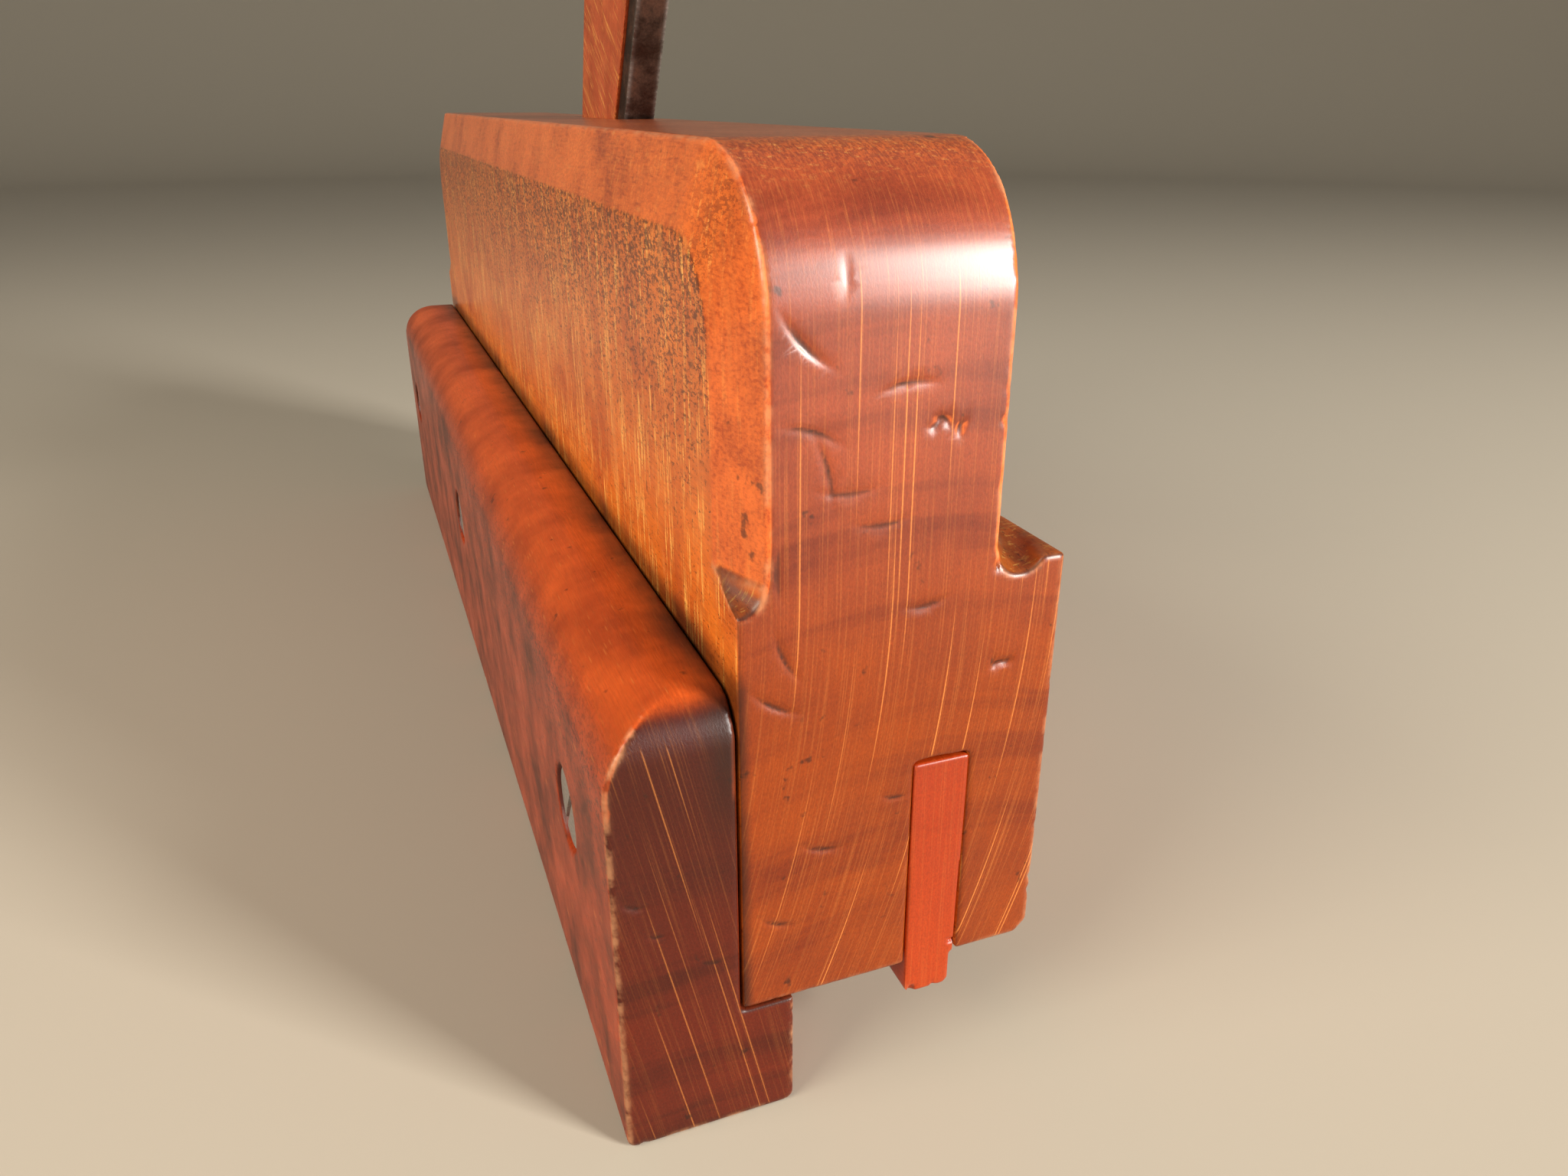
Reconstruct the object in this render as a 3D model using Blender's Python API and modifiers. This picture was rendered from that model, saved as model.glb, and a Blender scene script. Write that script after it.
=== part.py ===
"""Wooden grooving plane: beech stock and fence, boxwood slip, iron and wedge.

Run with: blender --background --python part.py
Metres, +Z up.  +X runs from the toe to the heel, +Y from the fence to the
shaving escapement.  The origin is under the middle of the fence's foot.
"""
import math

import bmesh
import bpy
from mathutils import Matrix, Vector

# ---- driving dimensions (metres) -------------------------------------------
GAP = 0.0003                   # clearance kept between pieces that touch
OVERCUT = 0.003                # how far a cutter runs past the face it cuts

LENGTH = 0.2413                # nine and a half inches, toe to heel
STOCK_WIDTH = 0.0346           # stock below the step
STOCK_HEIGHT = 0.0855          # sole to top
GRIP_WIDTH = 0.0296            # stock above the step
STEP_HEIGHT = 0.0472           # sole to the land of the step
END_ROUND = 0.014              # top corner at heel and toe
SOLE_CORNER = 0.0015           # worn lower corner on the escapement side
ARRIS = 0.0004                 # softened edges

CHAMFER_END = 0.0029           # chamfer width measured across the end faces
CHAMFER_TOP = 0.0022           # and across the top
CHAMFER_SIDE = 0.0070          # chamfer width down the sides, beside the ends
CHAMFER_DROP = 0.0080          # and below the top
CHAMFER_TURN = 0.0095          # radius of the chamfer's inner line at a corner
STOP_RADIUS = 0.0024           # gouge that stops each upright chamfer
STOP_RISE = math.radians(10)   # the gouge cut climbs away from the end face
STOP_ABOVE_STEP = 0.0009       # centre of the gouge cut above the land

SLIP_LEFT = 0.0191             # boxwood slip, from the stock's fence side
SLIP_HEIGHT = 0.0259           # above the sole
SLIP_SHOULDER = 0.0004         # slip beyond its tongue on the escapement side
TONGUE_WIDTH = 0.0055          # the slip's working edge, width of the groove
TONGUE_DEPTH = 0.0044          # below the sole, depth of the groove
TONGUE_CORNER = 0.0010

FENCE_THICKNESS = 0.0134       # beside the stock
FENCE_HEIGHT = 0.0373          # above the sole
FOOT_DEPTH = 0.0150            # fence below the sole
FOOT_REACH = 0.0057            # fence under the sole
FENCE_ROUND = 0.0085           # long top edge
FENCE_END_ROUND = 0.0050       # top corner at heel and toe
FOOT_CORNER = 0.0012

BED_ANGLE = math.radians(55)   # iron to sole
BED_FROM_TOE = 0.0709          # where the bed meets the sole
IRON_THICKNESS = 0.0042
IRON_LENGTH = 0.1770
TANG_WIDTH = 0.0050
BLADE_EXTRA = 0.0003           # the cutting end is this much wider than the tongue
BLADE_LENGTH = 0.0450
SHOULDER_LENGTH = 0.0080
IRON_CORNER = 0.0014
IRON_SET = 0.00015             # cutting edge below the tongue
IRON_BEVEL = math.radians(30)

WEDGE_ANGLE = math.radians(12)
WEDGE_FOOT = 0.0036            # wedge thickness where its faces pass the sole
WEDGE_LENGTH = 0.1450
WEDGE_TIP = 0.0130             # tip above the sole, along the bed
WEDGE_TIP_SLOPE = 0.0250       # length of the thinned tip
HEAD_LENGTH = 0.0440           # rounded head, notch included
NOTCH_DEPTH = 0.0065

MOUTH_OPENING = 0.0025         # in front of the cutting edge
MOUTH_ANGLE = math.radians(80)
THROAT_RADIUS = 0.0130         # scooped front of the escapement
THROAT_CENTRE = 0.0200         # its centre above the sole
THROAT_START = 222             # where the mouth's wall meets the scoop, degrees
THROAT_TOP = 0.0370            # highest point of the escapement
THROAT_FLARE = 1.18            # opening outwards to the side
THROAT_RELIEF = 0.0001         # throat pared just past the mortise's walls

SCREW_LENGTH = 0.0254
SCREW_HEAD = 0.0100
SCREW_SHANK = 0.0048
SCREW_SLOT = 0.0012
SCREW_SLOT_DEPTH = 0.0011
SCREW_SUNK = 0.0003            # head below the fence's face
SCREW_HEIGHT = 0.0140          # above the sole
SCREW_FROM_HEEL = 0.0230       # first screw, from the heel
SCREW_STEP = 0.1050            # from the first screw to the middle one
SCREW_FROM_TOE = 0.0170        # last screw, from the toe
SCREW_STEPS = 40

ARC_STEP = 4.0                 # degrees between the points of an arc

# ---- places that follow from them ------------------------------------------
HEEL = LENGTH / 2
TOE = -LENGTH / 2
SOLE = FOOT_DEPTH
LEFT = (FENCE_THICKNESS - STOCK_WIDTH) / 2
RIGHT = LEFT + STOCK_WIDTH
GRIP_RIGHT = LEFT + GRIP_WIDTH
TOP = SOLE + STOCK_HEIGHT
LAND = SOLE + STEP_HEIGHT
SLIP_START = LEFT + SLIP_LEFT
SLIP_WIDTH = TONGUE_WIDTH + SLIP_SHOULDER
IRON_CENTRE = SLIP_START + TONGUE_WIDTH / 2
BLADE_WIDTH = TONGUE_WIDTH + BLADE_EXTRA
MORTISE_WIDTH = BLADE_WIDTH + 2 * GAP
WEDGE_WIDTH = MORTISE_WIDTH - 2 * GAP
BED = Vector((TOE + BED_FROM_TOE, IRON_CENTRE, SOLE))
BED_TILT = Matrix.Rotation(math.pi / 2 - BED_ANGLE, 4, "Y")
WEDGE_BACK = IRON_THICKNESS + 2 * GAP
EDGE_DROP = TONGUE_DEPTH + IRON_SET
MOUTH_FRONT = (BED.x - (IRON_THICKNESS + GAP) / math.sin(BED_ANGLE)
               - TONGUE_DEPTH / math.tan(BED_ANGLE) - MOUTH_OPENING)

SECTION = Matrix(((0, 0, 1, 0), (1, 0, 0, 0), (0, 1, 0, 0), (0, 0, 0, 1)))
PROFILE = Matrix(((1, 0, 0, 0), (0, 0, -1, 0), (0, 1, 0, 0), (0, 0, 0, 1)))

parts = None
cutters = None


# ---- small tools ------------------------------------------------------------
def material(name, colour, roughness, metallic=0.0):
    """A plain Principled material."""
    made = bpy.data.materials.new(name)
    made.use_nodes = True
    shader = made.node_tree.nodes["Principled BSDF"]
    shader.inputs["Base Color"].default_value = (*colour, 1.0)
    shader.inputs["Roughness"].default_value = roughness
    shader.inputs["Metallic"].default_value = metallic
    return made


def arc(centre, radius, start, end):
    """Points on an arc, angles in degrees."""
    steps = math.ceil(abs(end - start) / ARC_STEP)
    angles = [math.radians(start + (end - start) * i / steps) for i in range(steps + 1)]
    return [(centre[0] + radius * math.cos(a), centre[1] + radius * math.sin(a))
            for a in angles]


def add_mesh(name, mesh, where):
    """A new object that holds the mesh, in one of the two collections."""
    made = bpy.data.objects.new(name, mesh)
    where.objects.link(made)
    if where is cutters:
        made.hide_render = True
        made.display_type = "WIRE"
    return made


def prism(name, outline, low, high, turn, where):
    """A flat outline pulled from low to high along the axis that turn gives it."""
    curve = bpy.data.curves.new(name, "CURVE")
    curve.dimensions = "2D"
    curve.fill_mode = "BOTH"
    curve.extrude = (high - low) / 2
    spline = curve.splines.new("POLY")
    spline.points.add(len(outline) - 1)
    for point, place in zip(spline.points, outline):
        point.co = (place[0], place[1], 0, 1)
    spline.use_cyclic_u = True
    shape = bpy.data.objects.new(name, curve)
    cutters.objects.link(shape)
    bpy.context.view_layer.update()
    evaluated = shape.evaluated_get(bpy.context.evaluated_depsgraph_get())
    mesh = bpy.data.meshes.new_from_object(evaluated)
    bpy.data.objects.remove(shape)
    work = bmesh.new()
    work.from_mesh(mesh)
    bmesh.ops.remove_doubles(work, verts=work.verts, dist=1e-6)
    middle = Matrix.Translation((0, 0, (high + low) / 2))
    bmesh.ops.transform(work, matrix=turn @ middle, verts=work.verts)
    bmesh.ops.recalc_face_normals(work, faces=work.faces)
    work.to_mesh(mesh)
    work.free()
    mesh.name = name
    return add_mesh(name, mesh, where)


def section(name, outline, low, high, where):
    """A (y, z) outline pulled along X."""
    return prism(name, outline, low, high, SECTION, where)


def profile(name, outline, low, high, where):
    """An (x, z) outline pulled along Y."""
    return prism(name, outline, -high, -low, PROFILE, where)


def combine(piece, other, operation="DIFFERENCE"):
    """Cut a piece with another object, or join them."""
    modifier = piece.modifiers.new(f"{operation.lower()} {other.name}", "BOOLEAN")
    modifier.operation = operation
    modifier.object = other
    modifier.solver = "EXACT"


def soften(piece, width, segments=2, angle=50):
    """Round a piece's sharp edges."""
    modifier = piece.modifiers.new("soft edges", "BEVEL")
    modifier.width = width
    modifier.segments = segments
    modifier.limit_method = "ANGLE"
    modifier.angle_limit = math.radians(angle)


def finish(piece, look):
    """Give a piece its material and shade its curves smooth."""
    piece.data.materials.append(look)
    piece.data.shade_smooth()
    piece.data.set_sharp_from_angle(angle=math.radians(30))


# ---- stock --------------------------------------------------------------------
def corner_path():
    """Outer and inner lines of a chamfer over the side, heel to toe, as pairs.

    Its angles fall between those of the stock's own rounding, so no corners coincide.
    """
    stop = LAND + STOP_ABOVE_STEP
    first, last = ARC_STEP / 2, 90 - ARC_STEP / 2
    outer = arc((HEEL - END_ROUND, TOP - END_ROUND), END_ROUND, first, last)
    turn = CHAMFER_TURN
    inner = arc((HEEL - CHAMFER_SIDE - turn, TOP - CHAMFER_DROP - turn), turn, first, last)
    half = [((HEEL, stop), (HEEL - CHAMFER_SIDE, stop))] + list(zip(outer, inner))
    mirrored = [tuple((-x, z) for x, z in pair) for pair in reversed(half)]
    return half + mirrored


def side_chamfer(name, face, inward):
    """Cutter for the chamfer that runs up both ends and along the top of a side."""
    path = corner_path()
    work = bmesh.new()
    rings = []
    for outer, inner in path:
        edge = Vector((outer[0], 0, outer[1]))
        line = Vector((inner[0], 0, inner[1]))
        round_share = min(1, (HEEL - abs(outer[0])) / END_ROUND)
        across = CHAMFER_END + (CHAMFER_TOP - CHAMFER_END) * round_share
        depth = inward * across * Vector((0, 1, 0))
        out = (edge - line).normalized()
        reach = (edge - line).length
        slope = (depth + edge - line) / reach
        base = Vector((0, face, 0))
        low = base + line - slope * OVERCUT
        high = base + edge + depth + slope * OVERCUT
        far = base + edge + out * OVERCUT - inward * Vector((0, OVERCUT, 0))
        near = base + line - inward * Vector((0, OVERCUT, 0)) - out * OVERCUT
        rings.append([work.verts.new(place) for place in (low, high, far, near)])
    for ring, following in zip(rings, rings[1:]):
        for i in range(4):
            j = (i + 1) % 4
            work.faces.new((ring[i], ring[j], following[j], following[i]))
    work.faces.new(rings[0])
    work.faces.new(reversed(rings[-1]))
    bmesh.ops.recalc_face_normals(work, faces=work.faces)
    mesh = bpy.data.meshes.new(name)
    work.to_mesh(mesh)
    work.free()
    return add_mesh(name, mesh, cutters)


def gouge_stop(name, end, face, outward):
    """Cutter for the scooped stop at the foot of an upright chamfer."""
    along = Vector((-math.copysign(CHAMFER_SIDE, end), outward * CHAMFER_END, 0)).normalized()
    along = (along + Vector((0, 0, math.tan(STOP_RISE)))).normalized()
    foot = Vector((end, face, LAND + STOP_ABOVE_STEP))
    reach = 2 * CHAMFER_SIDE
    work = bmesh.new()
    bmesh.ops.create_cone(work, cap_ends=True, segments=48, radius1=STOP_RADIUS,
                          radius2=STOP_RADIUS, depth=2 * reach)
    turn = Vector((0, 0, 1)).rotation_difference(along).to_matrix().to_4x4()
    shift = Matrix.Translation(foot + along * (reach - OVERCUT))
    bmesh.ops.transform(work, matrix=shift @ turn, verts=work.verts)
    mesh = bpy.data.meshes.new(name)
    work.to_mesh(mesh)
    work.free()
    return add_mesh(name, mesh, cutters)


def bed_line(height):
    """X of the bed at a height above the sole."""
    return BED.x + height / math.tan(BED_ANGLE)


def mouth_line(height):
    """X of the mouth's front wall at a height above the sole."""
    return MOUTH_FRONT + (height + TONGUE_DEPTH) / math.tan(MOUTH_ANGLE)


def throat_cutter():
    """Cutter for the escapement: a mouth that opens to a scoop in the side."""
    below = -TONGUE_DEPTH - OVERCUT
    start = math.radians(THROAT_START)
    meets = THROAT_CENTRE + THROAT_RADIUS * math.sin(start)
    centre = (mouth_line(meets) - THROAT_RADIUS * math.cos(start), THROAT_CENTRE)
    outline = [(bed_line(below) + THROAT_RELIEF, below), (mouth_line(below), below)]
    outline += arc(centre, THROAT_RADIUS, THROAT_START, 75)
    outline += [(bed_line(THROAT_TOP) + THROAT_RELIEF, THROAT_TOP)]
    outline = [(x, SOLE + z) for x, z in outline]
    left = IRON_CENTRE - MORTISE_WIDTH / 2 - THROAT_RELIEF
    cutter = profile("throat_cutter", outline, left, RIGHT + OVERCUT, cutters)
    forward = Vector((-math.sin(BED_ANGLE), 0, math.cos(BED_ANGLE)))
    for vertex in cutter.data.vertices:
        if vertex.co.y > RIGHT:
            distance = (vertex.co - BED).dot(forward)
            vertex.co += forward * distance * (THROAT_FLARE - 1)
    return cutter


def wedge_front(along):
    """Distance from the bed to the wedge's front face, along the bed."""
    return WEDGE_BACK + WEDGE_FOOT + along * math.tan(WEDGE_ANGLE)


def mortise_cutter():
    """Cutter for the slanting hole that holds the iron and the wedge."""
    low = THROAT_CENTRE / 2
    high = STOCK_HEIGHT / math.sin(BED_ANGLE) + IRON_THICKNESS + 4 * OVERCUT
    outline = [(0, low), (0, high), (-wedge_front(high) - GAP, high),
               (-wedge_front(low) - GAP, low)]
    cutter = profile("mortise_cutter", outline, -MORTISE_WIDTH / 2, MORTISE_WIDTH / 2, cutters)
    cutter.data.transform(Matrix.Translation(BED) @ BED_TILT)
    return cutter


def stock(throat):
    """The body: a stepped block with rounded ends, chamfers, slot and mortise."""
    outline = [(HEEL, SOLE)]
    outline += arc((HEEL - END_ROUND, TOP - END_ROUND), END_ROUND, 0, 90)
    outline += arc((TOE + END_ROUND, TOP - END_ROUND), END_ROUND, 90, 180)
    outline += [(TOE, SOLE)]
    body = profile("stock", outline, LEFT, RIGHT, parts)
    corner = [(RIGHT + OVERCUT, SOLE - OVERCUT), (RIGHT + OVERCUT, SOLE + SOLE_CORNER + OVERCUT),
              (RIGHT - SOLE_CORNER - OVERCUT, SOLE - OVERCUT)]
    across = [(GRIP_RIGHT, LAND), (RIGHT + OVERCUT, LAND), (RIGHT + OVERCUT, TOP + OVERCUT),
              (GRIP_RIGHT, TOP + OVERCUT)]
    slot = [(SLIP_START - GAP, SOLE - OVERCUT), (SLIP_START + SLIP_WIDTH + GAP, SOLE - OVERCUT),
            (SLIP_START + SLIP_WIDTH + GAP, SOLE + SLIP_HEIGHT + GAP),
            (SLIP_START - GAP, SOLE + SLIP_HEIGHT + GAP)]
    for name, shape in (("corner", corner), ("step", across), ("slot", slot)):
        cutter = section(f"{name}_cutter", shape, TOE - OVERCUT, HEEL + OVERCUT, cutters)
        combine(body, cutter)
    combine(body, mortise_cutter())
    combine(body, throat)
    for side, face, outward in (("left", LEFT, -1), ("right", GRIP_RIGHT, 1)):
        combine(body, side_chamfer(f"{side}_chamfer_cutter", face, -outward))
        for end_name, end in (("heel", HEEL), ("toe", TOE)):
            combine(body, gouge_stop(f"{side}_{end_name}_stop_cutter", end, face, outward))
    for place in screw_places():
        combine(body, screw_hole(f"pilot_cutter_{place[0]}", place, False))
    return body


# ---- slip ---------------------------------------------------------------------
def slip(name, low, high):
    """One length of the boxwood slip, with the tongue below the sole."""
    start = SLIP_START
    top = SOLE + SLIP_HEIGHT
    foot = SOLE - TONGUE_DEPTH
    edge = start + TONGUE_WIDTH
    corner = TONGUE_CORNER
    outline = [(start, top)]
    outline += arc((start + corner, foot + corner), corner, 180, 270)
    outline += arc((edge - corner, foot + corner), corner, 270, 360)
    outline += [(edge, SOLE), (start + SLIP_WIDTH, SOLE), (start + SLIP_WIDTH, top)]
    return section(name, outline, low, high, parts)


def boxing(throat):
    """The slip in two lengths, behind and in front of the mouth."""
    foot = bed_line(-TONGUE_DEPTH)
    pieces = slip("boxing_heel", foot, HEEL), slip("boxing_toe", TOE, foot - GAP)
    for piece in pieces:
        combine(piece, throat)
    return pieces


# ---- fence --------------------------------------------------------------------
def fence():
    """The rabbeted fence, screwed to the stock's side and lapped under its sole."""
    outer = LEFT - FENCE_THICKNESS
    inner = LEFT - GAP
    top = SOLE + FENCE_HEIGHT
    shelf = SOLE - GAP
    reach = LEFT + FOOT_REACH
    corner = FOOT_CORNER
    small = corner / 2
    outline = arc((inner - small, top - small), small, 0, 90)
    outline += arc((outer + FENCE_ROUND, top - FENCE_ROUND), FENCE_ROUND, 90, 180)
    outline += arc((outer + corner, corner), corner, 180, 270)
    outline += arc((reach - corner, corner), corner, 270, 360)
    outline += [(reach, shelf), (inner, shelf)]
    body = section("fence", outline, TOE, HEEL, parts)
    for name, end in (("heel", HEEL), ("toe", TOE)):
        out = math.copysign(1, end)
        middle = (end - out * FENCE_END_ROUND, top - FENCE_END_ROUND)
        curve = arc(middle, FENCE_END_ROUND, 90 - 90 * out, 90)
        corner_outline = curve + [(middle[0], top + OVERCUT), (end + out * OVERCUT, top + OVERCUT),
                                  (end + out * OVERCUT, middle[1])]
        combine(body, profile(f"fence_{name}_cutter", corner_outline,
                              outer - OVERCUT, inner + OVERCUT / 4, cutters))
    for place in screw_places():
        combine(body, screw_hole(f"countersink_cutter_{place[0]}", place, True))
    return body


# ---- screws ---------------------------------------------------------------------
def screw_places():
    """Name and x of each fence screw."""
    heel = HEEL - SCREW_FROM_HEEL
    return [("heel", heel), ("middle", heel - SCREW_STEP), ("toe", TOE + SCREW_FROM_TOE)]


def turned(name, outline, where):
    """A solid of revolution round +Y from (radius, y) points, outer side top to bottom."""
    mesh = bpy.data.meshes.new(name)
    work = bmesh.new()
    points = [work.verts.new((radius, 0, along)) for radius, along in outline]
    for first, second in zip(points, points[1:]):
        work.edges.new((first, second))
    work.to_mesh(mesh)
    work.free()
    made = add_mesh(name, mesh, cutters)
    turning = made.modifiers.new("turn", "SCREW")
    turning.steps = SCREW_STEPS
    turning.render_steps = SCREW_STEPS
    turning.use_merge_vertices = True
    turning.merge_threshold = 0.00001
    bpy.context.view_layer.update()
    solid = bpy.data.meshes.new_from_object(
        made.evaluated_get(bpy.context.evaluated_depsgraph_get()))
    bpy.data.objects.remove(made)
    work = bmesh.new()
    work.from_mesh(solid)
    bmesh.ops.remove_doubles(work, verts=work.verts, dist=1e-6)
    bmesh.ops.recalc_face_normals(work, faces=work.faces)
    work.to_mesh(solid)
    work.free()
    solid.transform(Matrix.Rotation(math.pi / 2, 4, "X"))
    solid.name = name
    return add_mesh(name, solid, where)


def head_face():
    """Y of the screw heads' flat faces."""
    return LEFT - FENCE_THICKNESS + SCREW_SUNK


def screw_hole(name, place, countersunk):
    """Cutter for a screw's hole, with the seat for its head in the fence."""
    shank = SCREW_SHANK / 2 + GAP
    head = SCREW_HEAD / 2 + GAP
    deep = SCREW_LENGTH + GAP
    outline = [(0, OVERCUT)]
    if countersunk:
        outline += [(head, OVERCUT), (head, -SCREW_SUNK), (shank, -SCREW_SUNK - head + shank)]
    else:
        outline += [(shank, OVERCUT)]
    outline += [(shank, -deep), (0, -deep)]
    cutter = turned(name, outline, cutters)
    cutter.location = (place[1], head_face(), SOLE + SCREW_HEIGHT)
    return cutter


def screws():
    """Three slotted wood screws of one make."""
    shank = SCREW_SHANK / 2
    head = SCREW_HEAD / 2
    rim = 0.0003
    outline = [(0, 0), (head, 0), (head, -rim), (shank, -rim - head + shank),
               (shank, -SCREW_LENGTH + 2 * shank), (0, -SCREW_LENGTH)]
    slot = [(-head - rim, -SCREW_SLOT / 2), (head + rim, -SCREW_SLOT / 2),
            (head + rim, SCREW_SLOT / 2), (-head - rim, SCREW_SLOT / 2)]
    made = []
    for name, x in screw_places():
        screw = turned(f"fence_screw_{name}", outline, parts)
        cutter = profile(f"slot_cutter_{name}", slot, -OVERCUT, SCREW_SLOT_DEPTH, cutters)
        for piece in (screw, cutter):
            piece.location = (x, head_face(), SOLE + SCREW_HEIGHT)
        combine(screw, cutter)
        made.append(screw)
    return made


# ---- iron and wedge ---------------------------------------------------------------
def slide_axis(name):
    """An empty on the bed, its Z along the way the iron and the wedge slide."""
    axis = bpy.data.objects.new(name, None)
    axis.empty_display_size = 0.02
    axis.matrix_world = Matrix.Translation(BED) @ BED_TILT
    parts.objects.link(axis)
    return axis


def iron():
    """The cutting iron: a parallel tang, a wider blade and a ground bevel."""
    blade = BLADE_WIDTH / 2
    tang = TANG_WIDTH / 2
    back = GAP
    front = GAP + IRON_THICKNESS
    edge = -EDGE_DROP / math.sin(BED_ANGLE) - front / math.tan(BED_ANGLE)
    top = edge + IRON_LENGTH
    shoulder = BLADE_LENGTH + SHOULDER_LENGTH
    start = edge - OVERCUT
    outline = [(-blade, start), (blade, start), (blade, BLADE_LENGTH), (tang, shoulder)]
    outline += arc((tang - IRON_CORNER, top - IRON_CORNER), IRON_CORNER, 0, 90)
    outline += arc((IRON_CORNER - tang, top - IRON_CORNER), IRON_CORNER, 90, 180)
    outline += [(-tang, shoulder), (-blade, BLADE_LENGTH)]
    piece = section("iron", outline, -front, -back, parts)
    heel_of_bevel = edge + IRON_THICKNESS / math.tan(IRON_BEVEL)
    slope = (heel_of_bevel - edge) / IRON_THICKNESS
    waste = [(-front - OVERCUT, edge - OVERCUT * slope), (-back + OVERCUT,
             heel_of_bevel + OVERCUT * slope), (-back + OVERCUT, edge - 2 * OVERCUT * slope),
             (-front - OVERCUT, edge - 2 * OVERCUT * slope)]
    cutter = profile("bevel_cutter", waste, -BLADE_WIDTH, BLADE_WIDTH, cutters)
    axis = slide_axis("iron_slide_axis")
    for shape in (piece, cutter):
        shape.parent = axis
    combine(piece, cutter)
    return piece


def wedge():
    """The wedge: a long taper, thinned at the tip, with a notched round head."""
    back = -WEDGE_BACK
    slope_end = WEDGE_TIP + WEDGE_TIP_SLOPE
    top = WEDGE_TIP + WEDGE_LENGTH
    neck = top - HEAD_LENGTH
    front = -wedge_front(neck)
    notch = NOTCH_DEPTH
    knob = (HEAD_LENGTH - 2 * notch) / 2
    knob_front = front + notch * 0.4
    outline = [(back, WEDGE_TIP), (back - 0.0008, WEDGE_TIP)]
    for i in range(1, 6):
        share = i / 5
        depth = WEDGE_BACK + 0.0008 + (wedge_front(slope_end) - WEDGE_BACK - 0.0008) * share ** 0.8
        outline.append((-depth, WEDGE_TIP + WEDGE_TIP_SLOPE * share))
    outline += [(front, neck)]
    outline += arc((front, neck + notch), notch, 270, 360)[1:]
    centre = (knob_front + knob, top - knob)
    outline += arc(centre, knob, 205, 90)
    outline += arc((back - knob * 0.6, top - knob * 0.6), knob * 0.6, 90, 0)
    piece = profile("wedge", outline, -WEDGE_WIDTH / 2, WEDGE_WIDTH / 2, parts)
    piece.parent = slide_axis("wedge_slide_axis")
    soften(piece, ARRIS)
    return piece


# ---- assembly -----------------------------------------------------------------
def main():
    """Build every piece of the plane."""
    global parts, cutters
    for old in list(bpy.data.objects):
        bpy.data.objects.remove(old)
    parts = bpy.data.collections.new("grooving_plane")
    cutters = bpy.data.collections.new("cutters")
    for collection in (parts, cutters):
        bpy.context.scene.collection.children.link(collection)
    beech = material("old waxed beech", (0.40, 0.13, 0.045), 0.35)
    dark_beech = material("worn dark beech", (0.25, 0.07, 0.03), 0.35)
    boxwood = material("boxwood", (0.55, 0.14, 0.03), 0.4)
    dark_iron = material("forged iron", (0.10, 0.08, 0.07), 0.5, 0.8)
    steel = material("screw steel", (0.35, 0.33, 0.30), 0.45, 1.0)
    throat = throat_cutter()
    finish(stock(throat), beech)
    for piece in boxing(throat):
        finish(piece, boxwood)
    finish(fence(), dark_beech)
    for piece in screws():
        finish(piece, steel)
    finish(iron(), dark_iron)
    finish(wedge(), beech)


main()
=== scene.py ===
"""Finished looks for a wooden grooving plane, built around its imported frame."""
import math

import bmesh
import bpy
import numpy as np
from bpy.props import FloatProperty, FloatVectorProperty, IntProperty, PointerProperty
from mathutils import Matrix, Vector
from mathutils.bvhtree import BVHTree
from mathutils.kdtree import KDTree


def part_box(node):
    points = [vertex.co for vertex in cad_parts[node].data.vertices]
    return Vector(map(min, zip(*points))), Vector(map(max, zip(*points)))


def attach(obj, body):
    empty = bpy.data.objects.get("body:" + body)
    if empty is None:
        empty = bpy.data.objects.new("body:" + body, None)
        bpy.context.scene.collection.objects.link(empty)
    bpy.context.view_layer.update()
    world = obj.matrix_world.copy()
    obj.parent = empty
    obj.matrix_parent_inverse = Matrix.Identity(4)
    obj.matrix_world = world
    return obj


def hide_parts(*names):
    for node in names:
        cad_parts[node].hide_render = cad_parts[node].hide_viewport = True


bl_info = {
    "name": "Grooving Plane",
    "version": (1, 0, 0),
    "blender": (4, 5, 0),
    "location": "View3D > Sidebar > Grooving Plane",
    "description": "Makes a worn beech grooving plane with a fence, a slip, an iron and a wedge",
    "category": "Add Mesh",
}

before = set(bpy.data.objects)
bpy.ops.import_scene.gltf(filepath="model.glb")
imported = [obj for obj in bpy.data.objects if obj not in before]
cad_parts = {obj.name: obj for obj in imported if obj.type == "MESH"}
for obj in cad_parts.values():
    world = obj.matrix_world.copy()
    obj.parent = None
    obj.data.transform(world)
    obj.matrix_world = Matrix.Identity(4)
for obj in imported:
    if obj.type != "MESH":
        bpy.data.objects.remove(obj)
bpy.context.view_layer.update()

MM = 0.001
BODY = "plane_body"
STOCK_LOW, STOCK_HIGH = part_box("stock")
SLIP_LOW, SLIP_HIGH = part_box("boxing_heel")
HEEL = STOCK_HIGH.x
TOE = STOCK_LOW.x
SOLE = STOCK_LOW.z
TOP = STOCK_HIGH.z
BED_SLOPE = math.radians(55)


def linear(text):
    """An sRGB hex colour as linear red, green and blue."""
    parts = [int(text[i:i + 2], 16) / 255 for i in (1, 3, 5)]
    return [c / 12.92 if c <= 0.04045 else ((c + 0.055) / 1.055) ** 2.4 for c in parts]


# ---- settings -------------------------------------------------------------------
def size(name, description, default):
    """A length that a user may change."""
    return FloatProperty(name=name, description=description, default=default, min=0.0,
                         precision=5, subtype="DISTANCE", unit="LENGTH")


def colour(name, description, text):
    """A colour that a user may change."""
    return FloatVectorProperty(name=name, description=description, default=linear(text),
                               size=3, min=0.0, max=1.0, subtype="COLOR")


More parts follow.
